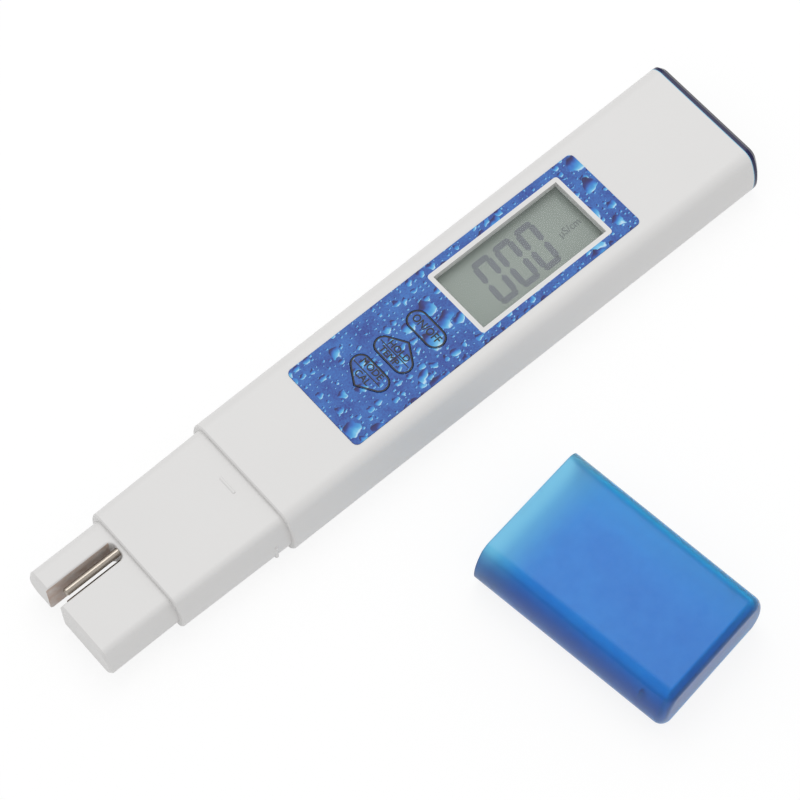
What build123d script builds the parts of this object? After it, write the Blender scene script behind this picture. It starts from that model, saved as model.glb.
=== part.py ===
from build123d import *
import math
import os

# Pocket water quality tester, lying on its back, with its cap taken off beside it.
# Millimetres. The origin is on the resting plane, on the pen's centre line, at the
# middle of the sleeve. X runs along the pen towards the end cover, Y across it and
# Z up through the display.

os.makedirs("parts", exist_ok=True)

# Walls of the moulded body
sleeve_wall = 1.6
shoulder_wall = 1.3
front_wall = 1.8
probe_wall = 2.6

# Battery tray, cells and contacts
cell_diameter = 11.6
cell_height = 5.4
cell_cap_diameter = 9.8
cell_cap_height = 0.4
cell_chamfer = 0.3
cell_spacing = 12.2
cell_clearance = 0.1
tray_floor = 0.8
tray_side_wall = 0.6
tray_front_wall = 0.8
tray_rear_wall = 1.6
tray_height = 5.2
tray_front_gap = 0.9
tray_rear_gap = 0.9
tray_side_gap = 1.4
tray_neck_width = 16.0
tray_neck_height = 4.0
link_length = 16.0
link_width = 5.0
link_thickness = 0.2
contact_width = 3.0
contact_thickness = 0.25
contact_gap = 0.1
contact_foot = 5.0
contact_foot_setback = 2.0
contact_reach = 3.5
contact_bend = 0.6
contact_headroom = 1.45
battery_rail_height = 1.8

# Outline of the moulded body, built round the two cells
sleeve_length = 116.2
sleeve_taper = 1.5
shoulder_length = 25.2
shoulder_taper = 0.9
step_depth = 1.1
guard_length = 15.7
guard_side_step = 1.2
guard_crown = 1.5
waist_height = 5.0
upper_crown = 2.8
upper_bulge = 1.3
lower_crown = 2.4
lower_bulge = 0.8
tightest_crown = 0.5
ledge_chamfer = 0.25
guard_chamfer = 0.5
tray_half_width = cell_spacing / 2 + cell_diameter / 2 + cell_clearance + tray_side_wall
sleeve_rear_width = 2 * (tray_half_width + tray_side_gap + sleeve_wall)
sleeve_front_width = sleeve_rear_width - sleeve_taper
shoulder_rear_width = sleeve_front_width - 2 * step_depth
shoulder_front_width = shoulder_rear_width - shoulder_taper
guard_width = shoulder_front_width - 2 * guard_side_step
tray_bottom = sleeve_wall + battery_rail_height
cell_bottom = tray_bottom + tray_floor + link_thickness
cell_top = cell_bottom + cell_height
ceiling = cell_top + contact_gap + contact_thickness + contact_headroom
body_thickness = ceiling + sleeve_wall
guard_inset = 2 * step_depth

# Slot in the probe guard
slot_width = 4.15
slot_length = 14.9
slot_offset = 3.84
slot_corner = 1.3
slot_rounding = 0.4

# Electrode pins
pin_diameter = 1.6
pin_length = 24.0
pin_tip_setback = 2.5
pin_inset = 1.4
pin_tip_chamfer = 0.35
pin_clearance = 0.04
back_pin_height = guard_inset + pin_inset
front_pin_height = body_thickness - guard_inset - pin_inset

# Snap ribs for the cap, on the shoulder
rib_setback = 3.4
rib_length = 4.0
rib_width = 0.7
rib_height = 0.18

# Stations along the body
seam = sleeve_length / 2
front_ledge = -sleeve_length / 2
guard_root = front_ledge - shoulder_length
tip = guard_root - guard_length
slot_end = tip + slot_length
probe_wall_back = slot_end + probe_wall
sleeve_cavity_front = front_ledge + front_wall
pin_start = tip + pin_tip_setback
pin_back = pin_start + pin_length

# Printed label
label_length = 71.6
label_width = 20.0
label_rear_margin = 25.55
label_least_margin = 1.5
label_corner = 1.1
label_thickness = 0.3
label_recess = 0.2
label_clearance = 0.05
label_front = max(seam - label_rear_margin - label_length, front_ledge + label_least_margin)
label_rear = label_front + label_length
label_centre = (label_front + label_rear) / 2
label_bottom = body_thickness - label_recess
label_top = label_bottom + label_thickness

# Display window
window_length = 31.3
window_width = 14.2
window_setback = 22.1
rim_width = 0.94
rim_corner = 0.7
lens_clearance = 0.1
lens_boss_height = 1.0
lens_flange_margin = 1.2
lens_flange_thickness = 0.8
window_centre = label_rear - window_setback

# Keys
key_row_offset = -0.3
key_length = 9.4
key_depth = 6.16
key_corner = 2.14
key_point = 0.35
power_key_width = 4.55
power_key_setback = 23.93
hold_key_setback = 34.19
key_spacing = 1.52
key_gap = 0.15
key_proud = 0.05
key_flange_margin = 0.5
key_flange_thickness = 0.8
key_stem = 0.7
key_travel = 0.4
power_key_centre = window_centre - power_key_setback
hold_key_flat = window_centre - hold_key_setback
mode_key_flat = hold_key_flat - key_spacing
key_flange_bottom = ceiling - key_flange_thickness
key_top = label_top + key_proud

# Tactile switches
switch_size = 6.0
switch_height = 3.5
switch_base = 0.6
switch_inset = 2.84
plunger_diameter = 3.5
plunger_proud = 1.0
plunger_clearance = 0.1
plunger_spare = 0.05
dome_diameter = 3.0
dome_crown_diameter = 1.4
dome_height = 0.3
dome_thickness = 0.1
plunger_top = key_flange_bottom - key_stem
switch_top = plunger_top - plunger_proud
dome_floor = switch_top - switch_height + switch_base
plunger_bottom = dome_floor + dome_height + key_travel + plunger_spare
switch_centres = {
    "on_off": power_key_centre,
    "hold_temp": hold_key_flat + switch_inset,
    "mode_cal": mode_key_flat - switch_inset,
}

# Circuit board
board_thickness = 1.0
board_corner = 1.0
board_front_gap = 0.3
board_rear_gap = 0.6
board_side_gap = 1.25
board_top = switch_top - switch_height
board_bottom = board_top - board_thickness

# Display, from the window down to the board
display_gap = 0.2
glass_thickness = 0.9
front_glass_length = 35.5
front_glass_width = 16.5
rear_glass_width = 11.6
reflector_thickness = 0.2
zebra_width = 1.5
holder_wall = 1.2
holder_corner = 0.6
holder_clearance = 0.1
holder_top_gap = 0.4
holder_ledge = 1.1
glass_top = ceiling - lens_flange_thickness - display_gap
front_glass_bottom = glass_top - glass_thickness
rear_glass_bottom = front_glass_bottom - glass_thickness

# End cover
cover_thickness = 1.55
cover_chamfer = 0.8
gasket_thickness = 0.15
skirt_depth = 3.5
skirt_wall = 1.0
skirt_clearance = 0.1
cover_inner_face = seam + gasket_thickness
cover_outer_face = cover_inner_face + cover_thickness
skirt_front = seam - skirt_depth

# Battery bay, from the cover inwards
chassis_rear_gap = 0.4
tray_rear = skirt_front - tray_rear_gap
cell_station = tray_rear - tray_rear_wall - cell_clearance - cell_diameter / 2
tray_front = cell_station - cell_diameter / 2 - cell_clearance - tray_front_wall
chassis_step = tray_front - tray_front_gap
chassis_rear = skirt_front - chassis_rear_gap
chassis_front = sleeve_cavity_front + board_front_gap
chassis_height = board_bottom - sleeve_wall
board_rear = chassis_step - board_rear_gap
board_front = chassis_front
board_width = sleeve_front_width - 2 * sleeve_wall - 2 * board_side_gap

# Chassis under the board
rail_width = 2.0
rail_gap = 0.35
cross_bar_width = 3.0
cross_bar_height = 1.6
stop_bar_width = 2.4
rail_offset = sleeve_front_width / 2 - lower_crown - lower_bulge - rail_gap - rail_width / 2
cross_bar_stations = (chassis_front + cross_bar_width / 2, hold_key_flat, window_centre)

# Board screws
screw_inset = 0.7
screw_front_setback = 10.0
screw_rear_setback = 4.0
screw_diameter = 1.6
screw_length = 3.2
screw_head_diameter = 3.0
screw_head_height = 1.0
screw_head_chamfer = 0.4
screw_clearance = 0.05
boss_diameter = 4.0
screw_offset = rail_offset - screw_inset
screw_stations = (board_front + screw_front_setback, board_rear - screw_rear_setback)

# Parts on the board
package_lift = 0.1
package_chamfer = 0.25
lead_pitch = 1.27
lead_width = 0.4
lead_thickness = 0.15
lead_reach = 1.0
controller_size = 7.0
controller_height = 1.4
amplifier_length = 5.0
amplifier_width = 4.0
amplifier_height = 1.5
amplifier_setback = 11.0
amplifier_offset = -4.0
crystal_length = 5.0
crystal_width = 3.2
crystal_height = 1.1
crystal_corner = 0.5
crystal_setback = 11.45
chip_part_length = 2.0
chip_part_width = 1.25
capacitor_height = 0.9
capacitor_setback = 6.0
capacitor_pitch = 7.0
capacitor_offset = 4.0
resistor_height = 0.5
resistor_setback = 16.5
resistor_pitch = 3.25
resistor_offset = -4.0
row_of_parts = (0, 1, 2)

# Probe seal, temperature sensor and leads
seal_length = 4.5
seal_width = 10.0
seal_centre = 2.8
seal_chamfer = 1.0
sensor_diameter = 2.0
sensor_length = 5.0
sensor_offset = 0.4
sensor_chamfer = 0.5
strip_width = 0.8
strip_thickness = 0.3
strip_landing = 3.0
strip_rest = 1.0
strip_bend = 2.0
sensor_strip_width = 0.5
sensor_strip_spread = 0.5
sensor_height = body_thickness / 2

# Cap, taken off and laid beside the pen
cap_fullness = 0.2
cap_taper = 0.6
cap_end_gap = 2.1
cap_wall = 1.0
cap_lip_wall = 0.8
cap_lip_depth = 3.9
cap_end_block = 3.0
cap_rounding = 1.9
cap_inner_chamfer = 0.7
cap_notch_length = 6.0
cap_notch_depth = 0.7
cap_notch_cut = 0.3
cap_rib_setback = 6.4
cap_rib_thickness = 0.8
cap_rib_reach = 1.2
cap_rib_rise = 1.0
cap_rib_height = 5.0
cap_mouth_x = -22.3
cap_mouth_y = -38.6
cap_heading = -82.7
cap_length = shoulder_length + guard_length + cap_end_gap + cap_wall
cap_mouth_width = sleeve_front_width + cap_fullness
cap_end_width = cap_mouth_width - cap_taper


# How near two positions count as the same
same_place = 0.01


def slab(x0, x1, y0, y1, z0, z1):
    """Block between six faces."""
    middle = Pos((x0 + x1) / 2, (y0 + y1) / 2, (z0 + z1) / 2)
    return middle * Box(x1 - x0, y1 - y0, z1 - z0)


def rounded_plate(length, width, corner, x, bottom, top):
    """Flat plate with round corners, centred on the pen's centre line."""
    outline = Pos(x, 0, bottom) * RectangleRounded(length, width, corner)
    return extrude(outline, top - bottom)


def rod(diameter, length, x, y, z):
    """Round rod that starts at x and runs along the pen."""
    start = Plane(origin=(x, y, z), x_dir=(0, 1, 0), z_dir=(1, 0, 0))
    return extrude(start * Circle(diameter / 2), length)


def flank_radius(crown, bulge, height):
    """Radius of the broad arc that runs on from a crown and stands upright at the waist."""
    run = crown + bulge
    return (run**2 + height**2 - 2 * height * crown) / (2 * bulge)


def half_section(station, width, inset, least_crown):
    """Half of the section across the pen, from a little past its centre line to its edge."""
    edge = width / 2
    start = -edge / 2
    top = body_thickness - inset
    drop = top - waist_height
    rise = waist_height - inset
    upper = max(upper_crown - inset, least_crown)
    lower = max(lower_crown - inset, least_crown)
    upper_flank = flank_radius(upper, upper_bulge, drop)
    lower_flank = flank_radius(lower, lower_bulge, rise)
    upper_turn = math.degrees(math.atan2(drop - upper, upper_flank - upper - upper_bulge))
    lower_turn = math.degrees(math.atan2(rise - lower, lower_flank - lower - lower_bulge))
    upper_middle = (edge - upper - upper_bulge, top - upper)
    lower_middle = (edge - lower - lower_bulge, inset + lower)
    with BuildSketch(Plane.YZ.offset(station)) as section:
        with BuildLine():
            Line((start, inset), (lower_middle[0], inset))
            CenterArc(lower_middle, lower, -90, 90 - lower_turn)
            CenterArc((edge - lower_flank, waist_height), lower_flank, -lower_turn, lower_turn)
            CenterArc((edge - upper_flank, waist_height), upper_flank, 0, upper_turn)
            CenterArc(upper_middle, upper, upper_turn, 90 - upper_turn)
            Line((upper_middle[0], top), (start, top))
            Line((start, top), (start, inset))
        make_face()
    return section.sketch


def body_run(start, end, start_width, end_width, inset, least_crown=tightest_crown):
    """Length of the body between two stations, whose sides lean apart where the width grows."""
    profile = half_section(start, start_width, inset, least_crown)
    lean = Vector(end - start, (end_width - start_width) / 2, 0)
    half = extrude(profile, lean.length, dir=lean)
    return half + mirror(half, about=Plane.XZ)


def sleeve_width(station):
    """Outside width of the sleeve, which tapers evenly towards the probe."""
    return sleeve_front_width + (station - front_ledge) / sleeve_length * sleeve_taper


def shoulder_width(station):
    """Outside width of the shoulder, which tapers the same way."""
    return shoulder_front_width + (station - guard_root) / shoulder_length * shoulder_taper


def edges_at(shape, axis, position):
    """Edges that lie wholly in the plane at this position on the axis."""
    return shape.edges().filter_by_position(axis, position - same_place, position + same_place)


def slot_cutter():
    """Slot through the guard, open at the tip, with round corners at its inner end."""
    with BuildSketch() as outline:
        with Locations((slot_end - slot_length / 2 - slot_corner, slot_offset)):
            Rectangle(slot_length + 2 * slot_corner, slot_width)
        fillet(outline.vertices().group_by(Axis.X)[-1], slot_corner)
    return extrude(outline.sketch, body_thickness)


def probe_guard():
    """Flat guard at the tip, forked by the slot, with its slot edges rounded."""
    guard = body_run(tip, guard_root, guard_width, guard_width, guard_inset, guard_crown)
    guard = chamfer(edges_at(guard, Axis.X, tip), guard_chamfer)
    guard = guard - slot_cutter()
    slot_rim = [
        edge
        for edge in edges_at(guard, Axis.Z, body_thickness - guard_inset)
        if abs(edge.center().Y - slot_offset) < slot_width / 2 + same_place
    ]
    return fillet(slot_rim, slot_rounding)


def snap_ribs():
    """Low round ribs on the four sides of the shoulder, which hold the cap on."""
    radius = (rib_width**2 / 4 + rib_height**2) / (2 * rib_height)
    sunk = radius - rib_height
    station = front_ledge - rib_setback
    across = Rotation(90, 0, 0) * Cylinder(radius, rib_length)
    upright = Cylinder(radius, rib_length)
    side = shoulder_width(station) / 2
    return [
        Pos(station, 0, body_thickness - step_depth - sunk) * across,
        Pos(station, 0, step_depth + sunk) * across,
        Pos(station, side - sunk, waist_height) * upright,
        Pos(station, sunk - side, waist_height) * upright,
    ]


def shield_outline(flat, pointing, grow):
    """Key outline with a flat side, two round corners and a blunt point opposite."""
    corner_x = flat + pointing * key_corner
    point_x = flat + pointing * (key_depth - key_point)
    reach = key_length / 2 - key_corner
    with BuildSketch() as outline:
        with Locations((corner_x, key_row_offset + reach), (corner_x, key_row_offset - reach)):
            Circle(key_corner + grow)
        with Locations((point_x, key_row_offset)):
            Circle(key_point + grow)
        make_hull(mode=Mode.REPLACE)
    return outline.sketch


def power_outline(grow):
    """Long round-ended outline of the on and off key."""
    with BuildSketch() as outline:
        with Locations((power_key_centre, key_row_offset)):
            SlotOverall(key_length + 2 * grow, power_key_width + 2 * grow, rotation=90)
    return outline.sketch


def hold_outline(grow):
    return shield_outline(hold_key_flat, 1, grow)


def mode_outline(grow):
    return shield_outline(mode_key_flat, -1, grow)


key_outlines = {"on_off": power_outline, "hold_temp": hold_outline, "mode_cal": mode_outline}


def key_holes(bottom, height):
    """Holes for the three keys through the label and the wall under it."""
    return [extrude(Pos(0, 0, bottom) * outline(0), height) for outline in key_outlines.values()]


def window_rim():
    """Raised rim round the window, up to the face of the label."""
    return rounded_plate(
        window_length + 2 * rim_width,
        window_width + 2 * rim_width,
        rim_corner,
        window_centre,
        label_bottom,
        label_top,
    )


def label_recess_pocket():
    return rounded_plate(
        label_length + 2 * label_clearance,
        label_width + 2 * label_clearance,
        label_corner + label_clearance,
        label_centre,
        label_bottom,
        body_thickness,
    )


def housing():
    """One-piece moulding: tapered sleeve, stepped shoulder and forked probe guard."""
    sleeve = body_run(front_ledge, seam, sleeve_front_width, sleeve_rear_width, 0)
    sleeve = chamfer(edges_at(sleeve, Axis.X, front_ledge), ledge_chamfer)
    shoulder = body_run(
        guard_root, front_ledge, shoulder_front_width, shoulder_rear_width, step_depth
    )
    shoulder = chamfer(edges_at(shoulder, Axis.X, guard_root), ledge_chamfer)
    body = sleeve + shoulder + probe_guard() + snap_ribs()

    sleeve_cavity = body_run(
        sleeve_cavity_front,
        seam,
        sleeve_width(sleeve_cavity_front) - 2 * sleeve_wall,
        sleeve_rear_width - 2 * sleeve_wall,
        sleeve_wall,
    )
    shoulder_cavity = body_run(
        probe_wall_back,
        sleeve_cavity_front,
        shoulder_width(probe_wall_back) - 2 * shoulder_wall,
        shoulder_width(sleeve_cavity_front) - 2 * shoulder_wall,
        step_depth + shoulder_wall,
    )
    opening = Pos(window_centre, 0, ceiling + sleeve_wall / 2) * Box(
        window_length, window_width, sleeve_wall + 2 * label_thickness
    )
    body = body - sleeve_cavity - shoulder_cavity - label_recess_pocket() + window_rim()
    body = body - opening - key_holes(ceiling, sleeve_wall)
    bore_start = slot_end - slot_corner
    bore_length = probe_wall_back - bore_start
    for height in (front_pin_height, back_pin_height):
        body = body - rod(
            pin_diameter + 2 * pin_clearance, bore_length, bore_start, slot_offset, height
        )
    return body


def label():
    """Printed sheet set into the sleeve, cut out round the window and the keys."""
    sheet = rounded_plate(
        label_length, label_width, label_corner, label_centre, label_bottom, label_top
    )
    return sheet - window_rim() - key_holes(label_bottom, label_thickness)


def window_lens():
    """Stepped clear window: its boss fills the opening and its flange bears on the wall."""
    boss = Pos(window_centre, 0, ceiling + lens_boss_height / 2) * Box(
        window_length - 2 * lens_clearance, window_width - 2 * lens_clearance, lens_boss_height
    )
    flange = Pos(window_centre, 0, ceiling - lens_flange_thickness / 2) * Box(
        window_length + 2 * lens_flange_margin,
        window_width + 2 * lens_flange_margin,
        lens_flange_thickness,
    )
    return boss + flange


def glass_plate(width, bottom, thickness):
    half = front_glass_length / 2
    return slab(
        window_centre - half, window_centre + half, -width / 2, width / 2, bottom, bottom + thickness
    )


def display_holder():
    """Frame that stands on the board round the glass and carries its two short ends."""
    top = glass_top - holder_top_gap
    length = front_glass_length + 2 * holder_clearance
    width = front_glass_width + 2 * holder_clearance
    frame = rounded_plate(
        length + 2 * holder_wall, width + 2 * holder_wall, holder_corner, window_centre, board_top, top
    )
    ledge_top = rear_glass_bottom - reflector_thickness
    middle = (board_top + top) / 2
    shaft = Pos(window_centre, 0, middle) * Box(length - 2 * holder_ledge, width, top - board_top)
    pocket = Pos(window_centre, 0, (ledge_top + top) / 2) * Box(length, width, top - ledge_top)
    return frame - shaft - pocket


def zebra_strips():
    """Two elastomer strips that join the board to the overhanging edges of the front glass."""
    half = front_glass_length / 2 - holder_ledge
    inner = rear_glass_width / 2 + holder_clearance
    strips = Part()
    for side in (-1, 1):
        near, far = sorted((side * inner, side * (inner + zebra_width)))
        strips += slab(
            window_centre - half, window_centre + half, near, far, board_top, front_glass_bottom
        )
    return strips


def main_board():
    """Circuit board on the chassis, with clearance holes for its screws."""
    length = board_rear - board_front
    board = rounded_plate(
        length, board_width, board_corner, (board_front + board_rear) / 2, board_bottom, board_top
    )
    return board - screw_bores(board_bottom, board_thickness)


def screw_places():
    return [(station, side * screw_offset) for station in screw_stations for side in (-1, 1)]


def screw_bores(bottom, height):
    """Holes that the board screws pass through."""
    radius = screw_diameter / 2 + screw_clearance
    return [Pos(x, y, bottom + height / 2) * Cylinder(radius, height) for x, y in screw_places()]


def board_screws():
    """Flat-topped screws that hold the board down on the chassis."""
    head_top = board_top + screw_head_height
    screws = Part()
    for x, y in screw_places():
        shank = Pos(x, y, board_top - screw_length / 2) * Cylinder(screw_diameter / 2, screw_length)
        head = Pos(x, y, head_top - screw_head_height / 2) * Cylinder(
            screw_head_diameter / 2, screw_head_height
        )
        screws += shank + chamfer(edges_at(head, Axis.Z, head_top), screw_head_chamfer)
    return screws


def inner_chassis():
    """Ladder frame that slides in from the rear: rails, cross bars and screw bosses."""
    floor = sleeve_wall
    frame = Part()
    for side in (-1, 1):
        near, far = sorted(
            (side * (rail_offset - rail_width / 2), side * (rail_offset + rail_width / 2))
        )
        frame += slab(chassis_front, chassis_step, near, far, floor, board_bottom)
        frame += slab(chassis_step, chassis_rear, near, far, floor, tray_bottom)
    for station in cross_bar_stations:
        half = cross_bar_width / 2
        frame += slab(
            station - half, station + half, -rail_offset, rail_offset, floor, floor + cross_bar_height
        )
    frame += slab(
        chassis_step - stop_bar_width, chassis_step, -rail_offset, rail_offset, floor, board_bottom
    )
    for x, y in screw_places():
        frame += Pos(x, y, floor + chassis_height / 2) * Cylinder(boss_diameter / 2, chassis_height)
    blind = board_top - screw_length - screw_clearance
    return frame - screw_bores(blind, board_bottom - blind)


def chip(length, width, height, x, y, sides):
    """Chip with gull-wing leads on two or four sides, standing on the board."""
    package = Pos(x, y, board_top + package_lift + height / 2) * Box(length, width, height)
    package = chamfer(package.edges().group_by(Axis.Z)[-1], package_chamfer)
    lead_height = package_lift + height / 2
    count = int((min(length, width) - lead_width) / lead_pitch)
    first = -(count - 1) * lead_pitch / 2
    for turn in range(sides):
        angle = 90 + turn * 360 / sides
        reach = (width if sides == 2 or turn % 2 == 0 else length) / 2
        for number in range(count):
            along = first + number * lead_pitch
            riser = Pos(reach + lead_thickness / 2, along, board_top + lead_height / 2) * Box(
                lead_thickness, lead_width, lead_height
            )
            foot = Pos(reach + lead_reach / 2, along, board_top + lead_thickness / 2) * Box(
                lead_reach, lead_width, lead_thickness
            )
            package += Pos(x, y, 0) * (Rotation(0, 0, angle) * (riser + foot))
    return package


def crystal():
    station = window_centre - crystal_setback
    outline = Pos(station, 0, board_top) * RectangleRounded(
        crystal_width, crystal_length, crystal_corner
    )
    return extrude(outline, crystal_height)


def small_parts(setback, pitch, offset, height):
    """Row of chip capacitors or resistors along the board."""
    row = Part()
    for number in row_of_parts:
        station = board_front + setback + number * pitch
        row += Pos(station, offset, board_top + height / 2) * Box(
            chip_part_length, chip_part_width, height
        )
    return row


def tactile_switch(centre):
    """Square switch with a round well for its plunger."""
    body = Pos(centre, key_row_offset, board_top + switch_height / 2) * Box(
        switch_size, switch_size, switch_height
    )
    depth = switch_height - switch_base
    well = Pos(centre, key_row_offset, switch_top - depth / 2) * Cylinder(
        plunger_diameter / 2 + plunger_clearance, depth
    )
    return body - well


def switch_domes():
    """Shallow sprung domes on the floor of the three switches."""
    inner_height = dome_height - dome_thickness
    domes = Part()
    for centre in switch_centres.values():
        outer = Cone(dome_diameter / 2, dome_crown_diameter / 2, dome_height)
        inner = Cone(
            dome_diameter / 2 - dome_thickness, dome_crown_diameter / 2 - dome_thickness, inner_height
        )
        domes += Pos(centre, key_row_offset, dome_floor + dome_height / 2) * outer - Pos(
            centre, key_row_offset, dome_floor + inner_height / 2
        ) * inner
    return domes


def switch_plunger(centre):
    height = plunger_top - plunger_bottom
    return Pos(centre, key_row_offset, plunger_bottom + height / 2) * Cylinder(
        plunger_diameter / 2, height
    )


def key(outline, centre):
    """Key with a printed head, a flange that stops it under the wall, and a stem."""
    head = extrude(Pos(0, 0, ceiling) * outline(-key_gap), key_top - ceiling)
    flange = extrude(Pos(0, 0, key_flange_bottom) * outline(key_flange_margin), key_flange_thickness)
    stem_height = key_flange_bottom - plunger_top
    stem = Pos(centre, key_row_offset, plunger_top + stem_height / 2) * Cylinder(
        plunger_diameter / 2, stem_height
    )
    return head + flange + stem


def electrode(height):
    """Metal pin with a bevelled tip, held in the wall behind the slot."""
    pin = rod(pin_diameter, pin_length, pin_start, slot_offset, height)
    return chamfer(edges_at(pin, Axis.X, pin_start), pin_tip_chamfer)


def electrode_seal():
    """Rubber block behind the probe wall, bored for the pins and the temperature sensor."""
    bottom = step_depth + shoulder_wall
    half = seal_width / 2
    block = slab(
        probe_wall_back,
        probe_wall_back + seal_length,
        seal_centre - half,
        seal_centre + half,
        bottom,
        body_thickness - bottom,
    )
    block = chamfer(block.edges().filter_by(Axis.X), seal_chamfer)
    for height in (front_pin_height, back_pin_height):
        block = block - rod(
            pin_diameter + 2 * pin_clearance, seal_length, probe_wall_back, slot_offset, height
        )
    return block - rod(
        sensor_diameter + 2 * pin_clearance, seal_length, probe_wall_back, sensor_offset, sensor_height
    )


def temperature_sensor():
    """Bead thermistor that lies against the probe wall."""
    bead = rod(sensor_diameter, sensor_length, probe_wall_back, sensor_offset, sensor_height)
    return chamfer(edges_at(bead, Axis.X, probe_wall_back + sensor_length), sensor_chamfer)


def bent_strip(corners, y, width, thickness, bend):
    """Flat strip, bent along a line of corners that are seen from the side of the pen."""
    with BuildSketch(Plane.XZ.offset(-y - width / 2)) as side:
        with BuildLine():
            FilletPolyline(*corners, radius=bend)
        trace(line_width=thickness)
    return extrude(side.sketch, width)


def lead_strip(start, y, width, height, landing_height):
    """Flat lead from the probe to the front edge of the board."""
    slope_end = board_front - strip_rest
    corners = [
        (start, height),
        ((start + slope_end) / 2, height),
        (slope_end, landing_height),
        (board_front + strip_landing, landing_height),
    ]
    return bent_strip(corners, y, width, strip_thickness, strip_bend)


def electrode_leads():
    """One lead to the top of the board and one to its underside."""
    half = strip_thickness / 2
    front = lead_strip(pin_back, slot_offset, strip_width, front_pin_height, board_top + half)
    back = lead_strip(pin_back, slot_offset, strip_width, back_pin_height, board_bottom - half)
    return Part() + front + back


def sensor_leads():
    start = probe_wall_back + sensor_length
    leads = Part()
    for side in (-1, 1):
        leads += lead_strip(
            start,
            sensor_offset + side * sensor_strip_spread,
            sensor_strip_width,
            sensor_height,
            board_top + strip_thickness / 2,
        )
    return leads


def section_ring(start, end, width, inset, wall):
    """Ring with the pen's own section."""
    outer = body_run(start, end, width, width, inset)
    inner_width = width - 2 * wall
    return outer - body_run(start, end, inner_width, inner_width, inset + wall)


def end_cover():
    """Cover that closes the sleeve, with a skirt that plugs into it."""
    plate = body_run(
        cover_inner_face, cover_outer_face, sleeve_rear_width, sleeve_rear_width, 0
    )
    plate = chamfer(edges_at(plate, Axis.X, cover_outer_face), cover_chamfer)
    inset = sleeve_wall + skirt_clearance
    width = sleeve_rear_width - 2 * inset
    return plate + section_ring(skirt_front, cover_inner_face, width, inset, skirt_wall)


def cover_gasket():
    """Thin ring in the seam between the sleeve and the cover."""
    return section_ring(seam, cover_inner_face, sleeve_rear_width, 0, sleeve_wall)


def cell_places():
    return [(cell_station, side * cell_spacing / 2) for side in (-1, 1)]


def battery_tray():
    """Drawer for two button cells, joined to the cover by a neck."""
    tray = slab(
        tray_front,
        tray_rear,
        -tray_half_width,
        tray_half_width,
        tray_bottom,
        tray_bottom + tray_height,
    )
    tray += slab(
        tray_rear,
        cover_inner_face,
        -tray_neck_width / 2,
        tray_neck_width / 2,
        tray_bottom,
        tray_bottom + tray_neck_height,
    )
    floor = tray_bottom + tray_floor
    for x, y in cell_places():
        tray -= Pos(x, y, floor + tray_height / 2) * Cylinder(
            cell_diameter / 2 + cell_clearance, tray_height
        )
    return tray - slab(
        cell_station - link_width / 2 - cell_clearance,
        cell_station + link_width / 2 + cell_clearance,
        -link_length / 2 - cell_clearance,
        link_length / 2 + cell_clearance,
        floor,
        floor + link_thickness + cell_clearance,
    )


def button_cell(side, cap_up):
    """Button cell: a wide can with a narrower cap."""
    can_height = cell_height - cell_cap_height
    can = Pos(0, 0, can_height / 2) * Cylinder(cell_diameter / 2, can_height)
    can = chamfer(can.edges().filter_by(GeomType.CIRCLE), cell_chamfer)
    cap = Pos(0, 0, can_height + cell_cap_height / 2) * Cylinder(cell_cap_diameter / 2, cell_cap_height)
    cell = can + cap
    if not cap_up:
        cell = Pos(0, 0, cell_height) * (Rotation(180, 0, 0) * cell)
    return Pos(cell_station, side * cell_spacing / 2, cell_bottom) * cell


def cell_link():
    """Strap on the tray floor that joins the two cells in series."""
    floor = tray_bottom + tray_floor
    return slab(
        cell_station - link_width / 2,
        cell_station + link_width / 2,
        -link_length / 2,
        link_length / 2,
        floor,
        floor + link_thickness,
    )


def battery_contacts():
    """Two bent leaf contacts, from the board to just above the cells."""
    riser = board_rear - contact_foot_setback
    low = board_top + contact_thickness / 2
    high = cell_top + contact_gap + contact_thickness / 2
    contacts = Part()
    for x, y in cell_places():
        corners = [(riser - contact_foot, low), (riser, low), (riser, high), (x + contact_reach, high)]
        contacts += bent_strip(corners, y, contact_width, contact_thickness, contact_bend)
    return contacts


def cap_solid(inset, depth):
    """Blind solid of the cap from its mouth to this depth: a tapered run and a straight end."""
    run = cap_length - cap_end_block
    mouth = cap_mouth_width - 2 * inset
    end = cap_end_width - 2 * inset
    return body_run(0, run, mouth, end, inset), body_run(run, depth, end, end, inset)


def probe_cap():
    """Hollow cap, modelled from its mouth and then laid beside the pen."""
    tapered, closed = cap_solid(0, cap_length)
    shell = tapered + fillet(edges_at(closed, Axis.X, cap_length), cap_rounding)
    inner_depth = cap_length - cap_wall
    tapered, closed = cap_solid(cap_wall, inner_depth)
    hollow = tapered + chamfer(edges_at(closed, Axis.X, inner_depth), cap_inner_chamfer)
    lip_width = cap_mouth_width - 2 * cap_lip_wall
    lip = body_run(0, cap_lip_depth, lip_width, lip_width, cap_lip_wall)
    notch = slab(
        0,
        cap_notch_depth,
        -cap_notch_length / 2,
        cap_notch_length / 2,
        waist_height,
        body_thickness - cap_lip_wall + cap_notch_cut,
    )
    cap = shell - hollow - lip - notch
    station = cap_length - cap_rib_setback
    inner_half = cap_end_width / 2 - cap_wall
    for side in (-1, 1):
        near, far = sorted((side * (inner_half - cap_rib_reach), side * (inner_half + cap_wall)))
        rib = slab(
            station,
            station + cap_rib_thickness,
            near,
            far,
            waist_height - cap_rib_rise,
            waist_height - cap_rib_rise + cap_rib_height,
        )
        cap += rib & shell
    return Pos(cap_mouth_x, cap_mouth_y, 0) * (Rotation(0, 0, cap_heading) * cap)


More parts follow.
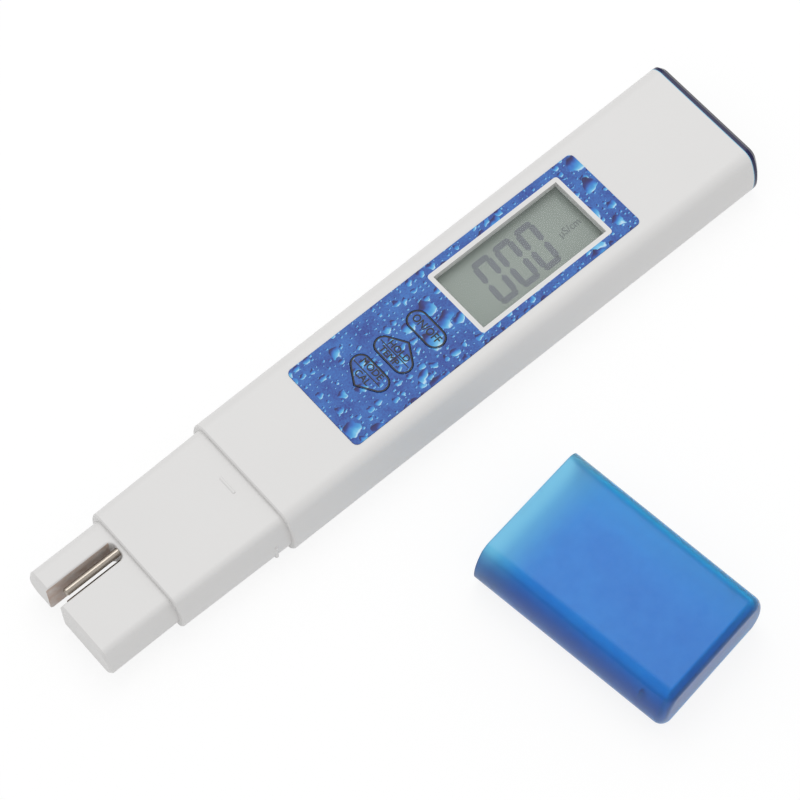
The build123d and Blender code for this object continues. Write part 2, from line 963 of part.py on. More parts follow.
nodes = {
    "housing": housing(),
    "label": label(),
    "window_lens": window_lens(),
    "display_front_glass": glass_plate(front_glass_width, front_glass_bottom, glass_thickness),
    "display_rear_glass": glass_plate(rear_glass_width, rear_glass_bottom, glass_thickness),
    "display_reflector": glass_plate(
        rear_glass_width, rear_glass_bottom - reflector_thickness, reflector_thickness
    ),
    "display_holder": display_holder(),
    "zebra_strips": zebra_strips(),
    "main_board": main_board(),
    "board_screws": board_screws(),
    "inner_chassis": inner_chassis(),
    "controller_chip": chip(
        controller_size, controller_size, controller_height, window_centre, 0, 4
    ),
    "amplifier_chip": chip(
        amplifier_length,
        amplifier_width,
        amplifier_height,
        board_front + amplifier_setback,
        amplifier_offset,
        2,
    ),
    "crystal": crystal(),
    "board_capacitors": small_parts(
        capacitor_setback, capacitor_pitch, capacitor_offset, capacitor_height
    ),
    "board_resistors": small_parts(
        resistor_setback, resistor_pitch, resistor_offset, resistor_height
    ),
    "switch_domes": switch_domes(),
    "electrode_front": electrode(front_pin_height),
    "electrode_back": electrode(back_pin_height),
    "electrode_seal": electrode_seal(),
    "temperature_sensor": temperature_sensor(),
    "electrode_leads": electrode_leads(),
    "sensor_leads": sensor_leads(),
    "battery_contacts": battery_contacts(),
    "end_cover": end_cover(),
    "cover_gasket": cover_gasket(),
    "battery_tray": battery_tray(),
    "cell_a": button_cell(-1, True),
    "cell_b": button_cell(1, False),
    "cell_link": cell_link(),
    "probe_cap": probe_cap(),
}
for name, outline in key_outlines.items():
    nodes[f"{name}_switch"] = tactile_switch(switch_centres[name])
    nodes[f"{name}_plunger"] = switch_plunger(switch_centres[name])
    nodes[f"{name}_key"] = key(outline, switch_centres[name])

for name, shape in nodes.items():
    export_step(shape, f"parts/{name}.step")
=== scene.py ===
# %% [markdown]
# # Pocket water quality tester
# A flat white pen with a printed key panel, a small display and a forked probe end. Its blue
# see-through cap lies beside it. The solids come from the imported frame, which fixes every size,
# and this file dresses them: finishes, printed marks, the display's digits, light and camera.

import math

import bmesh
import bpy
from mathutils import Matrix, Vector


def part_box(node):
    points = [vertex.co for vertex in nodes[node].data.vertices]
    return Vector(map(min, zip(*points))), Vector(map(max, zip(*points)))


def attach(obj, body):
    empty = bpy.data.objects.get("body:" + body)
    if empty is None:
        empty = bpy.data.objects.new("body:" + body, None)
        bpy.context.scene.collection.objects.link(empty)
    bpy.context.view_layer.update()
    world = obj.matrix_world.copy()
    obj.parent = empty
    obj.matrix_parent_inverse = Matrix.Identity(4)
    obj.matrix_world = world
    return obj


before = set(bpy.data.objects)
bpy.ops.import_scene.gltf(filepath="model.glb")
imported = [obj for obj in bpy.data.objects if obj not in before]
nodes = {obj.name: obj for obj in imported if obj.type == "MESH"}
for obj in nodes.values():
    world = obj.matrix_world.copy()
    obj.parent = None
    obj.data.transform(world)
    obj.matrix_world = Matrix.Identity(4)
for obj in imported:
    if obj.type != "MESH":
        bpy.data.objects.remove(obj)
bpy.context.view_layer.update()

# %% [markdown]
# The photograph was taken from high above the tip, with a long lens and no roll. The place and
# the angle of the camera follow from the outline of the printed label, whose corners are known
# on the solid.

# %% Camera
lens_data = bpy.data.cameras.new("camera")
lens_data.lens = 125.09
lens_data.sensor_width = 36
lens_data.clip_start = 0.01
camera = bpy.data.objects.new("camera", lens_data)
camera.location = (-0.1713, -0.1739, 0.4770)
camera.rotation_euler = (math.radians(25.372), 0, math.radians(-41.076))
bpy.context.scene.collection.objects.link(camera)
bpy.context.scene.camera = camera
print("camera at", [round(v, 3) for v in camera.location])

# %% [markdown]
# Plain studio light: the white world fills every side, and one wide soft panel overhead makes
# the tops a little brighter than the flanks. Together they bring a level white sheet to about
# one, so a colour comes out about as it is written.

# %% World and lamps
scene = bpy.context.scene
scene.view_settings.view_transform = "Standard"
world = bpy.data.worlds.new("studio")
scene.world = world
world.use_nodes = True
world.node_tree.nodes["Background"].inputs["Color"].default_value = (1, 1, 1, 1)
world.node_tree.nodes["Background"].inputs["Strength"].default_value = 0.72


def soft_panel(name, place, size, watts):
    """Square lamp that faces the middle of the tester."""
    data = bpy.data.lights.new(name, "AREA")
    data.size = size
    data.energy = watts
    lamp = bpy.data.objects.new(name, data)
    lamp.location = place
    lamp.rotation_euler = (-Vector(place)).to_track_quat("-Z", "Y").to_euler()
    scene.collection.objects.link(lamp)
    return lamp


soft_panel("overhead_panel", (0.25, 0.35, 1.0), 0.7, 3.0)
print("one panel and the world light the set")

# %% [markdown]
# The background is pure white. The floor is a white sheet whose own brightness is lifted for the
# camera, in reflections and through clear pieces, so it stays white there and still takes a faint
# contact shadow. It lights the tester from below as plain paper would.

# %% Floor
def new_material(name):
    """Empty material and a helper that adds linked nodes to it."""
    material = bpy.data.materials.new(name)
    material.use_nodes = True
    tree = material.node_tree
    tree.nodes.clear()

    def add(kind, inputs=None, **settings):
        node = tree.nodes.new(kind)
        for key, value in settings.items():
            setattr(node, key, value)
        for key, value in (inputs or {}).items():
            if isinstance(value, bpy.types.NodeSocket):
                tree.links.new(value, node.inputs[key])
            else:
                node.inputs[key].default_value = value
        return node

    return material, add


def finish_material(add, shader):
    """Close a material with this shader on its surface."""
    add("ShaderNodeOutputMaterial", {"Surface": shader})


FLOOR_HALF = 3.0
floor_mesh = bmesh.new()
bmesh.ops.create_grid(floor_mesh, x_segments=1, y_segments=1, size=FLOOR_HALF)
floor_data = bpy.data.meshes.new("floor")
floor_mesh.to_mesh(floor_data)
floor_mesh.free()
floor = bpy.data.objects.new("floor", floor_data)
scene.collection.objects.link(floor)
sheet, add = new_material("white_sheet")
rays = add("ShaderNodeLightPath")
seen = add("ShaderNodeMath", {0: rays.outputs["Is Camera Ray"], 1: rays.outputs["Is Glossy Ray"]},
           operation="MAXIMUM")
seen = add("ShaderNodeMath", {0: seen.outputs[0], 1: rays.outputs["Is Transmission Ray"]},
           operation="MAXIMUM")
paper = add("ShaderNodeBsdfDiffuse", {"Color": (0.85, 0.85, 0.85, 1)})
glow = add("ShaderNodeEmission", {"Color": (1, 1, 1, 1), "Strength": 1.06})
share = add("ShaderNodeMath", {0: seen.outputs[0], 1: 0.8}, operation="MULTIPLY")
mixed = add("ShaderNodeMixShader", {0: share.outputs[0], 1: paper.outputs[0], 2: glow.outputs[0]})
finish_material(add, mixed.outputs[0])
floor_data.materials.append(sheet)
print("floor and its shadow-keeping white are in place")

# %% [markdown]
# Moulded plastic is never one flat colour: it has a fine grain from the mould and a very slight
# unevenness. Every plain finish here shares one recipe, with its colour, its gloss and the size
# and depth of its grain given in millimetres, so that each stays at its real scale.

# %% Plain finishes
def srgb(red, green, blue):
    """Colour from the usual 0 to 255 numbers to the linear ones that a shader takes."""
    def linear(value):
        value = value / 255
        return value / 12.92 if value <= 0.04045 else ((value + 0.055) / 1.055) ** 2.4
    return (linear(red), linear(green), linear(blue), 1)


def millimetres(add):
    """Object coordinates in millimetres."""
    place = add("ShaderNodeTexCoord").outputs["Object"]
    return add("ShaderNodeMapping", {"Vector": place, "Scale": (1000, 1000, 1000)}).outputs[0]


def moulded(name, colour, roughness, grain=0.25, depth=0.004, drift=0.03, metal=0.0, over=None):
    """Plain finish. The grain's size and depth are in millimetres, and over adds to the colour."""
    material, add = new_material(name)
    place = millimetres(add)
    fine = add("ShaderNodeTexNoise", {"Vector": place, "Scale": 1 / grain, "Detail": 3.0})
    broad = add("ShaderNodeTexNoise", {"Vector": place, "Scale": 0.08, "Detail": 2.0})
    darker = tuple(c * (1 - drift) for c in colour[:3]) + (1,)
    lighter = tuple(min(1, c * (1 + drift)) for c in colour[:3]) + (1,)
    tint = add("ShaderNodeMix", {0: broad.outputs[0], 6: darker, 7: lighter}, data_type="RGBA")
    if over:
        tint = over(add, place, tint)
    rough = add("ShaderNodeMapRange", {0: fine.outputs[0],
                                       3: roughness - 0.05, 4: roughness + 0.05})
    bump = add("ShaderNodeBump", {"Height": fine.outputs[0], "Distance": depth / 1000,
                                  "Strength": 1.0})
    shader = add("ShaderNodeBsdfPrincipled", {"Base Color": tint.outputs[2],
                                              "Roughness": rough.outputs[0],
                                              "Normal": bump.outputs[0], "Metallic": metal})
    finish_material(add, shader.outputs[0])
    return material


def dress(material, *names):
    """Give these solids this finish."""
    for name in names:
        slots = nodes[name].data.materials
        slots.clear()
        slots.append(material)


# painted highlight: the gasket's pale cyan stands in for the lit line along the cover's seam
dress(moulded("pale_rubber_painted_highlight", srgb(150, 205, 228), 0.5), "cover_gasket")
print("the gasket is a pale soft rubber")

# %% [markdown]
# The body is one satin white moulding. The walls of the probe slot look brownish, from the
# brown pins mirrored in them and the shade inside the slot, so that tone is painted over the
# white there as painted reflection and painted shade, held to the slot by its place on the pen.

# %% White body
SLOT_MIDDLE = (-93.0, 3.87)
SLOT_REACH = (8.2, 2.06)


def painted_slot_reflection(add, place, tint):
    """Painted brownish reflection and shade over the colour, on the walls of the probe slot only.
    """
    split = add("ShaderNodeSeparateXYZ", {0: place})
    near = [add("ShaderNodeMath", {0: split.outputs[i], 1: SLOT_MIDDLE[i], 2: SLOT_REACH[i]},
                operation="COMPARE").outputs[0] for i in (0, 1)]
    there = add("ShaderNodeMath", {0: near[0], 1: near[1]}, operation="MULTIPLY")
    # painted reflection and painted shade: the brown of the pins as seen in the slot walls
    reflection_noise = add("ShaderNodeTexNoise", {"Vector": place, "Scale": 0.5, "Detail": 2.0})
    amount = add("ShaderNodeMath", {0: there.outputs[0], 1: reflection_noise.outputs[0]}, operation="MULTIPLY")
    return add("ShaderNodeMix", {0: amount.outputs[0], 6: tint.outputs[2],
                                 7: srgb(182, 140, 108)}, data_type="RGBA")


dress(moulded("white_moulding", srgb(227, 226, 225), 0.42, depth=0.006, drift=0.01,
              over=painted_slot_reflection), "housing")
print("the body is white, with a fine mould grain and a brownish slot")

# %% [markdown]
# The end cover is a deep blue moulding that lets a little light in at its rim. That light is
# painted into its colour as blue next to the seam, and the cover is nearly black towards its
# outer face. The colour changes with the place along the pen, and a low roughness gives the
# polish of the real part.

# %% End cover
COVER_SEAM, COVER_DARK = 58.2, 59.6
polished, add = new_material("deep_blue_moulding")
place = millimetres(add)
along = add("ShaderNodeSeparateXYZ", {0: place})
# painted light: blue where light gets in at the seam, fading to the cover's own near black
depth = add("ShaderNodeMapRange", {0: along.outputs[0], 1: COVER_SEAM, 2: COVER_DARK})
speck = add("ShaderNodeTexNoise", {"Vector": place, "Scale": 2.0, "Detail": 3.0})
tint = add("ShaderNodeMix", {0: depth.outputs[0], 6: srgb(34, 38, 88), 7: srgb(12, 12, 28)},
           data_type="RGBA")
rough = add("ShaderNodeMapRange", {0: speck.outputs[0], 3: 0.16, 4: 0.26})
bump = add("ShaderNodeBump", {"Height": speck.outputs[0], "Distance": 0.000004})
shader = add("ShaderNodeBsdfPrincipled", {"Base Color": tint.outputs[2],
                                          "Roughness": rough.outputs[0],
                                          "Normal": bump.outputs[0], "Specular IOR Level": 0.3})
finish_material(add, shader.outputs[0])
dress(polished, "end_cover")
print("the end cover fades from blue to nearly black")

# %% [markdown]
# The pins are drawn titanium rods. Drawing leaves fine lines along a rod, so the noise that
# steers the roughness and the bump is stretched along the pen.

# %% Electrode pins
drawn, add = new_material("drawn_titanium")
place = add("ShaderNodeTexCoord").outputs["Object"]
streaks = add("ShaderNodeMapping", {"Vector": place, "Scale": (60, 6000, 6000)}).outputs[0]
lines = add("ShaderNodeTexNoise", {"Vector": streaks, "Scale": 1.0, "Detail": 4.0})
tint = add("ShaderNodeMix", {0: lines.outputs[0], 6: srgb(150, 138, 126),
                             7: srgb(205, 198, 188)}, data_type="RGBA")
rough = add("ShaderNodeMapRange", {0: lines.outputs[0], 3: 0.18, 4: 0.34})
bump = add("ShaderNodeBump", {"Height": lines.outputs[0], "Distance": 0.000006})
shader = add("ShaderNodeBsdfPrincipled", {"Base Color": tint.outputs[2],
                                          "Roughness": rough.outputs[0],
                                          "Normal": bump.outputs[0], "Metallic": 1.0})
finish_material(add, shader.outputs[0])
dress(drawn, "electrode_front", "electrode_back")
print("the pins have drawing lines along them")

# %% [markdown]
# The key panel is one printed sheet that shows water drops on blue. A picture could be wrapped
# over it, but a drawn pattern stays sharp and belongs to nobody. Each layer of drops is a field
# of cells: a cell's middle places a drop, and its random colour says how large the drop is and
# whether there is one. The side of the middle that a point lies on decides whether it shows the
# dark crescent or the bright one. Noise in the coordinates makes the drops uneven.

# %% One layer of drops
DROP_TONES = ((0.08, (36, 26, 82)), (0.24, (38, 48, 128)), (0.42, (42, 112, 200)),
              (0.64, (66, 158, 220)), (0.82, (112, 192, 234)), (0.9, (196, 230, 246)),
              (0.98, (84, 140, 214)))
BRIGHT_SIDE = (0.25, -0.97, 0)
# how far and how often a drop's outline wavers, set against the largest drop of its layer
WOBBLE_REACH, WOBBLE_PACE = 1.9, 0.6


def vectors(add, operation, first, second):
    """Sum, difference or product of two vectors."""
    return add("ShaderNodeVectorMath", {0: first, 1: second}, operation=operation)


def smooth_change(add, value, start, end, low, high):
    """Soft step of a value from one level to another."""
    return add("ShaderNodeMapRange", {0: value, 1: start, 2: end, 3: low, 4: high},
               interpolation_type="SMOOTHSTEP").outputs[0]


def drop_layer(add, place, ground, cell, smallest, largest, share, shift):
    """Colour so far, with a layer of drops on it. All lengths are in millimetres."""
    moved = add("ShaderNodeMapping", {"Vector": place, "Location": (shift, 2.7 * shift, 0),
                                      "Scale": (1, 1, 0)}).outputs[0]
    wobble = add("ShaderNodeTexNoise", {"Vector": moved, "Scale": WOBBLE_PACE / largest,
                                        "Detail": 2.5})
    centred = vectors(add, "ADD", wobble.outputs["Color"], (-0.5, -0.5, -0.5))
    pushed = add("ShaderNodeVectorMath", {0: centred.outputs[0], 3: WOBBLE_REACH * largest},
                 operation="SCALE")
    warped = vectors(add, "ADD", moved, pushed.outputs[0]).outputs[0]
    cells = add("ShaderNodeTexVoronoi", {"Vector": warped, "Scale": 1 / cell, "Randomness": 0.75},
                voronoi_dimensions="2D")
    chance = add("ShaderNodeSeparateColor", {0: cells.outputs["Color"]})
    radius = add("ShaderNodeMapRange", {0: chance.outputs[0], 3: smallest, 4: largest}).outputs[0]
    kept = add("ShaderNodeMath", {0: chance.outputs[1], 1: share}, operation="LESS_THAN")
    arm = vectors(add, "SUBTRACT", warped, cells.outputs["Position"])
    flat = vectors(add, "MULTIPLY", arm.outputs[0], (1, 1, 0)).outputs[0]
    reach = add("ShaderNodeVectorMath", {0: flat}, operation="LENGTH")
    ratio = add("ShaderNodeMath", {0: reach.outputs["Value"], 1: radius}, operation="DIVIDE")
    inside = smooth_change(add, ratio.outputs[0], 0.9, 1.06, 1.0, 0.0)
    shown = add("ShaderNodeMath", {0: inside, 1: kept.outputs[0]}, operation="MULTIPLY")
    side = vectors(add, "DOT_PRODUCT", flat, BRIGHT_SIDE)
    lean = add("ShaderNodeMath", {0: side.outputs["Value"], 1: radius}, operation="DIVIDE")
    level = add("ShaderNodeMapRange", {0: lean.outputs[0], 1: -1.0, 2: 1.0})
    shade = add("ShaderNodeValToRGB", {0: level.outputs[0]})
    bands = shade.color_ramp.elements
    (first, dark), *between, (last, end) = DROP_TONES
    bands[0].position, bands[0].color = first, srgb(*dark)
    bands[1].position, bands[1].color = last, srgb(*end)
    for position, colour in between:
        bands.new(position).color = srgb(*colour)
    joined = add("ShaderNodeMix", {0: shown.outputs[0], 6: ground, 7: shade.outputs[0]},
                 data_type="RGBA")
    return joined.outputs[2]


print("a drop runs through", len(DROP_TONES), "tones from its dark side to its bright one")

# %% [markdown]
# The ground under the drops drifts between two blues, with a fine speckle as a screen print has.
# Three layers lie on it, from many small drops to a few large ones. The keys carry on the same
# print, since they are part of the same sheet on the real tester.

# %% Water-drop print
# Size of a cell, smallest and largest radius, share of the cells that have a drop, and a shift
# that picks another part of the pattern. Lengths are in millimetres.
DROP_LAYERS = (
    (1.2, 0.14, 0.34, 0.7, 3.1),
    (2.5, 0.4, 0.85, 0.6, 5.9),
    (4.6, 0.9, 1.9, 0.6, 40.3),
)


def water_print(name, roughness):
    """Drops of water printed on blue."""
    material, add = new_material(name)
    place = millimetres(add)
    broad = add("ShaderNodeTexNoise", {"Vector": place, "Scale": 0.22, "Detail": 3.0})
    grain = add("ShaderNodeTexNoise", {"Vector": place, "Scale": 2.4, "Detail": 4.0,
                                       "Roughness": 0.7})
    blend = add("ShaderNodeMath", {0: broad.outputs[0], 1: grain.outputs[0]}, operation="ADD")
    level = add("ShaderNodeMapRange", {0: blend.outputs[0], 1: 0.72, 2: 1.28})
    ground = add("ShaderNodeMix", {0: level.outputs[0], 6: srgb(36, 58, 146),
                                   7: srgb(58, 120, 198)}, data_type="RGBA").outputs[2]
    for layer in DROP_LAYERS:
        ground = drop_layer(add, place, ground, *layer)
    rough = add("ShaderNodeMapRange", {0: grain.outputs[0],
                                       3: roughness - 0.05, 4: roughness + 0.07})
    bump = add("ShaderNodeBump", {"Height": grain.outputs[0], "Distance": 0.000004})
    shader = add("ShaderNodeBsdfPrincipled", {"Base Color": ground, "Roughness": rough.outputs[0],
                                              "Normal": bump.outputs[0], "Specular IOR Level": 0.3})
    finish_material(add, shader.outputs[0])
    return material


dress(water_print("water_drop_print", 0.32),
      "label", "on_off_key", "hold_temp_key", "mode_cal_key")
print("the sheet and the keys share the drop print")

# %% [markdown]
# The keys are framed by a printed black line, with the function words inside it. The line is
# taken from the key itself: its top face is copied, inset by the width of the line, and the
# border that the inset leaves becomes a thin layer of ink on the key.

# %% Ink
# thickness of every printed mark and width of the line round a key, in metres
INK = 0.00002
BORDER = 0.00029


def ink(name, colour, roughness=0.45):
    """Printing ink, with a finer grain than a moulding."""
    return moulded(name, colour, roughness, grain=0.08, depth=0.001, drift=0.05)


black_ink = ink("black_ink", srgb(8, 9, 14))


def settle(name, mesh_data, body, material):
    """Object at the origin for this mesh, riding on its body."""
    mesh_data.materials.clear()
    mesh_data.materials.append(material)
    piece = bpy.data.objects.new(name, mesh_data)
    scene.collection.objects.link(piece)
    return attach(piece, body)


def from_bmesh(name, shape):
    """Mesh of the finished shape."""
    data = bpy.data.meshes.new(name)
    shape.to_mesh(data)
    shape.free()
    return data


def raise_ink(shape):
    """Turn flat faces into a closed layer as thick as the ink."""
    walls = bmesh.ops.extrude_face_region(shape, geom=shape.faces[:])
    raised = [v for v in walls["geom"] if isinstance(v, bmesh.types.BMVert)]
    bmesh.ops.translate(shape, verts=raised, vec=(0, 0, INK))
    bmesh.ops.recalc_face_normals(shape, faces=shape.faces[:])


def key_border(key, width):
    """Band of ink round the top of a key."""
    shape = bmesh.new()
    shape.from_mesh(nodes[key].data)
    bmesh.ops.remove_doubles(shape, verts=shape.verts, dist=1e-7)
    top = max(v.co.z for v in shape.verts)
    below = [f for f in shape.faces if f.calc_center_median().z < top - 1e-6]
    bmesh.ops.delete(shape, geom=below, context="FACES")
    bmesh.ops.dissolve_faces(shape, faces=shape.faces[:])
    whole = shape.faces[:]
    bmesh.ops.inset_region(shape, faces=whole, thickness=width, use_even_offset=True,
                           use_boundary=True)
    bmesh.ops.delete(shape, geom=whole, context="FACES")
    raise_ink(shape)
    return from_bmesh(f"{key}_border", shape), top


key_tops = {}
for key, body in (("on_off_key", "on_off_button"), ("hold_temp_key", "hold_temp_button"),
                  ("mode_cal_key", "mode_cal_button")):
    border, key_tops[key] = key_border(key, BORDER)
    settle(f"{key}_border", border, body, black_ink)
print("three keys are framed at", [round(1000 * top, 2) for top in key_tops.values()], "mm")

# %% [markdown]
# The words are text objects made into meshes. The type on such a panel is a plain condensed
# sans, so each word is brought to the length and height that it has on the panel. Its strokes
# are then made bolder by pushing the outline of the letters outwards, as ink does when it spreads.

# %% Lettering
# spread of the ink in metres, and the sharpest corner that is still pushed in full
INK_SPREAD = 0.00004
LEAST_MITRE = 0.6


def embolden(shape, weight):
    """Push the outline of flat letters outwards, held back at sharp corners."""
    pushes = []
    for vert in shape.verts:
        outward = Vector()
        for edge in vert.link_edges:
            if edge.is_boundary:
                loop = edge.link_loops[0]
                run = loop.link_loop_next.vert.co - loop.vert.co
                outward += run.normalized().cross(Vector((0, 0, 1)))
        if outward.length > 0.01:
            mitre = max(LEAST_MITRE, outward.length / 2)
            pushes.append((vert, outward.normalized() * weight / mitre))
    for vert, push in pushes:
        vert.co += push


def lettering(name, words, centre, length, height, reading, top):
    """Thin raised lettering along the reading direction."""
    text = bpy.data.curves.new(name, "FONT")
    text.body = words
    carrier = bpy.data.objects.new(name, text)
    scene.collection.objects.link(carrier)
    bpy.context.view_layer.update()
    settled = carrier.evaluated_get(bpy.context.evaluated_depsgraph_get())
    data = bpy.data.meshes.new_from_object(settled)
    bpy.data.objects.remove(carrier)
    low = Vector([min(v.co[i] for v in data.vertices) for i in range(3)])
    high = Vector([max(v.co[i] for v in data.vertices) for i in range(3)])
    span = high - low
    size = Matrix.Diagonal((length / span.x, height / span.y, 1, 1))
    along = Vector(reading)
    upright = Vector((0, 0, 1)).cross(along)
    turn = Matrix((along, upright, (0, 0, 1))).transposed().to_4x4()
    middle = Matrix.Translation(-(low + high) / 2)
    place = Matrix.Translation((centre[0], centre[1], top))
    data.transform(place @ turn @ size @ middle)
    shape = bmesh.new()
    shape.from_mesh(data)
    bmesh.ops.remove_doubles(shape, verts=shape.verts, dist=1e-5)
    embolden(shape, INK_SPREAD)
    raise_ink(shape)
    return from_bmesh(name, shape)


print("letters spread by", 1e6 * INK_SPREAD, "micrometres")

# %% [markdown]
# All the words read across the pen. The table gives each its key, its place along and across the
# pen, its length and its height, in millimetres.

# %% Printed words
DOWN_THE_KEYS = (0, -1, 0)
words = (
    ("on_off_word", "ON/OFF", "on_off_key", "on_off_button", -13.3, -0.3, 7.1, 1.6),
    ("hold_word", "HOLD", "hold_temp_key", "hold_temp_button", -20.3, -0.5, 5.2, 1.35),
    ("temp_word", "TEMP.", "hold_temp_key", "hold_temp_button", -22.35, -0.1, 5.1, 1.3),
    ("mode_word", "MODE", "mode_cal_key", "mode_cal_button", -26.55, 0.0, 5.3, 1.4),
    ("cal_word", "CAL", "mode_cal_key", "mode_cal_button", -29.0, -0.1, 3.5, 1.35),
)
for name, word, key, body, x, y, length, height in words:
    data = lettering(name, word, (x / 1000, y / 1000), length / 1000, height / 1000,
                     DOWN_THE_KEYS, key_tops[key])
    settle(name, data, body, black_ink)
print(len(words), "words are printed on the keys")

# %% [markdown]
# Two of the keys have two functions, so a thin printed line parts their words. Each line is a
# flat bar of ink whose edges are broken, as a printed edge is never quite sharp.

# %% Dividing lines
LINE = 0.0002


def ink_bar(name, x, low, high, width, top):
    """Line of ink across the pen."""
    shape = bmesh.new()
    bmesh.ops.create_cube(shape, size=1)
    bmesh.ops.scale(shape, vec=(width, high - low, INK), verts=shape.verts)
    bmesh.ops.translate(shape, vec=(x, (low + high) / 2, top + INK / 2), verts=shape.verts)
    bmesh.ops.bevel(shape, geom=shape.edges, offset=INK / 4, affect="EDGES", segments=1,
                    profile=0.5, material=-1)
    return from_bmesh(name, shape)


for keys, x, low, high in (("hold_temp", -0.0213, -0.0042, 0.0036),
                           ("mode_cal", -0.0279, -0.0036, 0.0037)):
    line = ink_bar(f"{keys}_divider", x, low, high, LINE, key_tops[f"{keys}_key"])
    settle(f"{keys}_divider", line, f"{keys}_button", black_ink)
print("two keys have a dividing line")

# %% [markdown]
# A liquid crystal display shows its digits as dark bars under the front glass, on a grey-green
# ground. Each bar is a flat plate with pointed ends, made by bevelling the corners of a
# rectangle. A zero lights six of the seven bars.

# %% Digits
DIGIT_HEIGHT, DIGIT_WIDTH = 0.0106, 0.0046
BAR_WIDTH, BAR_GAP = 0.00128, 0.0002
DIGIT_LEAN = math.radians(4)
DIGIT_PLACES = (4.25, 9.7, 15.15)
ground = moulded("display_ground", srgb(132, 143, 134), 0.35, grain=0.4, depth=0.001, drift=0.02)
dress(ground, "display_front_glass")
segment_ink = ink("display_segment", srgb(80, 84, 100), 0.4)
glass_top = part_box("display_front_glass")[1].z


def bar(shape, centre, length, width, upright):
    """Pointed bar of a digit, added to the shape."""
    made = bmesh.ops.create_grid(shape, x_segments=1, y_segments=1, size=0.5)["verts"]
    across, along = (width, length) if upright else (length, width)
    bmesh.ops.scale(shape, vec=(across, along, 1), verts=made)
    bmesh.ops.translate(shape, vec=(*centre, 0), verts=made)
    bmesh.ops.bevel(shape, geom=made, offset=0.46 * width, affect="VERTICES", segments=1,
                    profile=0.5, material=-1)


def zero_digit(name, x, y):
    """The six lit bars of a zero, leaning a little to the right."""
    shape = bmesh.new()
    half = DIGIT_HEIGHT / 2 - BAR_WIDTH / 2
    for level in (-half, half):
        bar(shape, (0, level), DIGIT_WIDTH - 2 * BAR_GAP, BAR_WIDTH, False)
    for side in (-1, 1):
        for level in (-half / 2, half / 2):
            bar(shape, (side * (DIGIT_WIDTH - BAR_WIDTH) / 2, level), half - 2 * BAR_GAP,
                BAR_WIDTH, True)
    lean = Matrix.Identity(4)
    lean[0][1] = math.tan(DIGIT_LEAN)
    place = Matrix.Translation((x, y, glass_top))
    bmesh.ops.transform(shape, matrix=place @ lean, verts=shape.verts)
    raise_ink(shape)
    return from_bmesh(name, shape)


for number, x in enumerate(DIGIT_PLACES, start=1):
    digit = zero_digit(f"zero_digit_{number}", x / 1000, 0.0001)
    settle(f"zero_digit_{number}", digit, "tester", segment_ink)
print("three zeros on the glass at", round(1000 * glass_top, 2), "mm")

# %% [markdown]
# The unit beside the digits is small and fainter than they are. It is lettering, as on the keys.

# %% Unit on the display
faint_ink = ink("faint_segment", srgb(84, 92, 94), 0.4)
unit = lettering("unit_word", "\u00b5S/cm", (0.0224, -0.0011), 0.0050, 0.0019, (1, 0, 0),
                 glass_top)
settle("unit_word", unit, "tester", faint_ink)
print("the unit stands after the last digit")

# %% [markdown]
# The window over the display is clear acrylic. It is shown as a nearly transparent film, which
# keeps the digits below it sharp.

# %% Window
clear, add = new_material("clear_acrylic")
place = millimetres(add)
smear = add("ShaderNodeTexNoise", {"Vector": place, "Scale": 0.3, "Detail": 2.0})
rough = add("ShaderNodeMapRange", {0: smear.outputs[0], 3: 0.03, 4: 0.07})
shader = add("ShaderNodeBsdfPrincipled", {"Base Color": srgb(214, 224, 220),
                                          "Roughness": rough.outputs[0],
                                          "IOR": 1.49, "Alpha": 0.1})
finish_material(add, shader.outputs[0])
dress(clear, "window_lens")
print("the window is clear")

# %% [markdown]
# The cap is frosted blue plastic: it transmits and scatters, since it is a hollow shell. Light
# enters at its mouth and along its lit side, and that light is painted into the tint as pale blue
# there; painted shade gives a deeper blue at the far end and at the rounded edges, where the wall
# is seen edge on. The tint is laid out in millimetres along the cap's own length and width,
# measured from its mouth.

# %% Cap
CAP_MOUTH = (-22.3, -38.6, 0)
CAP_TURN = (0, 0, math.radians(-82.7))
frosted, add = new_material("frosted_blue")
place = millimetres(add)
laid = add("ShaderNodeMapping", {"Vector": place, "Location": CAP_MOUTH, "Rotation": CAP_TURN},
           vector_type="TEXTURE").outputs[0]
split = add("ShaderNodeSeparateXYZ", {0: laid})
depth, across = split.outputs[0], split.outputs[1]
cloud = add("ShaderNodeTexNoise", {"Vector": place, "Scale": 0.35, "Detail": 5.0})
fine = add("ShaderNodeTexNoise", {"Vector": place, "Scale": 5.0, "Detail": 2.0})
# painted light: a pale band at the mouth and a paler lit side that fades towards the closed end
painted_mouth_light = smooth_change(add, depth, 1.0, 9.5, 0.95, 0.0)
lit_side = smooth_change(add, across, 4.0, 11.5, 0.0, 0.9)
fade = add("ShaderNodeMapRange", {0: depth, 1: 6.0, 2: 42.0, 3: 1.0, 4: 0.7})
lit = add("ShaderNodeMath", {0: lit_side, 1: fade.outputs[0]}, operation="MULTIPLY")
# painted shade: deeper blue where the wall is seen edge on, at both sides and at the closed end
near_edge_shade = smooth_change(add, across, -11.5, -14.6, 0.0, 0.8)
far_edge_shade = smooth_change(add, across, 14.2, 14.9, 0.0, 0.6)
closed_end_shade = smooth_change(add, depth, 42.2, 43.8, 0.0, 0.7)
side_edge_shade = add("ShaderNodeMath", {0: near_edge_shade, 1: far_edge_shade}, operation="MAXIMUM")
edge = add("ShaderNodeMath", {0: side_edge_shade.outputs[0], 1: closed_end_shade}, operation="MAXIMUM")
tint = add("ShaderNodeMix", {0: cloud.outputs[0], 6: srgb(12, 146, 224), 7: srgb(36, 172, 238)},
           data_type="RGBA")
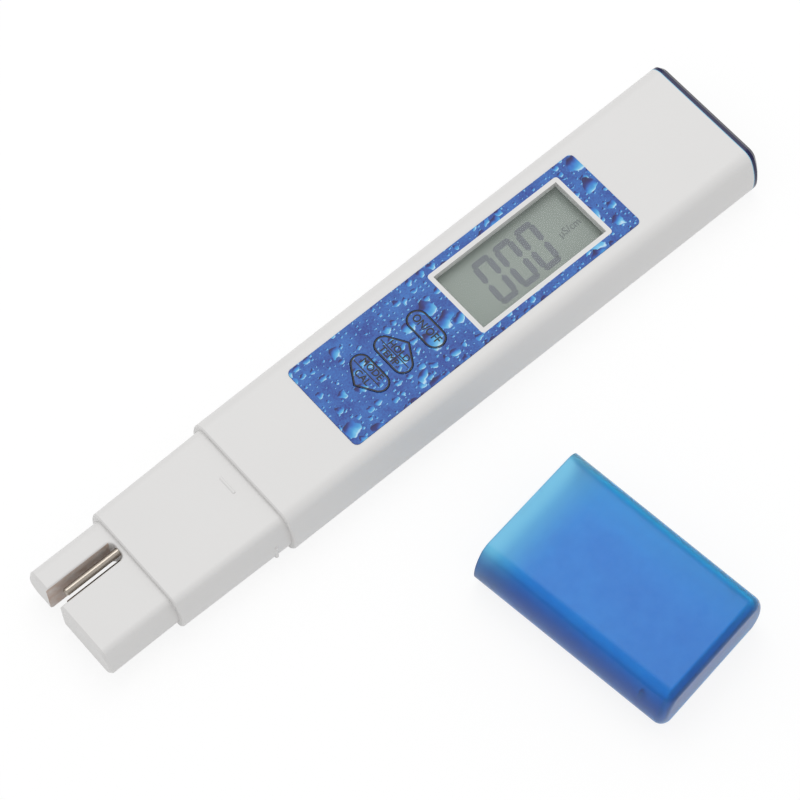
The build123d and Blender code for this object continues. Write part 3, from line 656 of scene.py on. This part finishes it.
# the lit side and the mouth get painted light, the edges get painted shade
for amount, colour in ((lit.outputs[0], (16, 198, 250)), (painted_mouth_light, (112, 200, 234)),
                       (edge.outputs[0], (6, 76, 166))):
    tint = add("ShaderNodeMix", {0: amount, 6: tint.outputs[2], 7: srgb(*colour)},
               data_type="RGBA")
rough = add("ShaderNodeMapRange", {0: fine.outputs[0], 3: 0.26, 4: 0.38})
bump = add("ShaderNodeBump", {"Height": fine.outputs[0], "Distance": 0.000005})
shader = add("ShaderNodeBsdfPrincipled", {"Base Color": tint.outputs[2],
                                          "Roughness": rough.outputs[0],
                                          "Normal": bump.outputs[0], "IOR": 1.49,
                                          "Transmission Weight": 0.85,
                                          "Specular IOR Level": 0.2})
finish_material(add, shader.outputs[0])
dress(frosted, "probe_cap")
print("the cap is frosted blue")

# %% [markdown]
# Inside, the pieces are ordinary electronics. They show only when the cover is drawn out or the
# tester is opened, and still get their own finishes, each from the recipe for plain ones.

# %% Finishes inside
dress(moulded("natural_moulding", srgb(222, 220, 208), 0.5), "inner_chassis", "battery_tray",
      "display_holder")
dress(moulded("black_moulding", srgb(28, 28, 30), 0.45), "controller_chip", "amplifier_chip",
      "on_off_switch", "hold_temp_switch", "mode_cal_switch")
dress(moulded("plunger_black", srgb(44, 44, 46), 0.35), "on_off_plunger", "hold_temp_plunger",
      "mode_cal_plunger")
dress(moulded("zinc_steel", srgb(198, 200, 200), 0.3, metal=1.0), "board_screws", "switch_domes")
dress(moulded("nickel_can", srgb(214, 210, 200), 0.22, metal=1.0), "cell_a", "cell_b", "crystal")
dress(moulded("spring_bronze", srgb(206, 184, 138), 0.28, metal=1.0),
      "battery_contacts", "cell_link")
dress(moulded("tan_ceramic", srgb(176, 146, 104), 0.4), "board_capacitors")
dress(moulded("black_glaze", srgb(34, 34, 40), 0.25), "board_resistors", "temperature_sensor")
dress(moulded("black_rubber", srgb(40, 40, 42), 0.65), "electrode_seal")
dress(moulded("pink_elastomer", srgb(214, 168, 172), 0.6), "zebra_strips")
dress(moulded("amber_ribbon", srgb(196, 130, 56), 0.35), "electrode_leads", "sensor_leads")
dress(moulded("reflector_foil", srgb(196, 200, 196), 0.35, metal=0.6), "display_reflector")
dress(moulded("rear_glass", srgb(150, 160, 150), 0.15), "display_rear_glass")
print("the inside has its finishes, apart from the board")

# %% [markdown]
# The circuit board is green. Its copper shows as a slightly raised pattern under the lacquer,
# drawn as narrow lines between long fields, which is cheaper than a mesh for every track.

# %% Circuit board
lacquer, add = new_material("green_lacquer")
place = millimetres(add)
rows = add("ShaderNodeMapping", {"Vector": place, "Scale": (0.4, 1.0, 1.0)}).outputs[0]
tracks = add("ShaderNodeTexBrick", {"Vector": rows, "Scale": 1.0, "Mortar Size": 0.07,
                                    "Mortar Smooth": 0.3, "Color1": srgb(18, 96, 50),
                                    "Color2": srgb(16, 84, 44), "Mortar": srgb(52, 140, 78)})
bump = add("ShaderNodeBump", {"Height": tracks.outputs["Fac"], "Distance": 0.00003})
shader = add("ShaderNodeBsdfPrincipled", {"Base Color": tracks.outputs[0], "Roughness": 0.3,
                                          "Normal": bump.outputs[0]})
finish_material(add, shader.outputs[0])
dress(lacquer, "main_board")
bare = [name for name, node in nodes.items() if not node.data.materials]
print("solids without a finish:", bare)
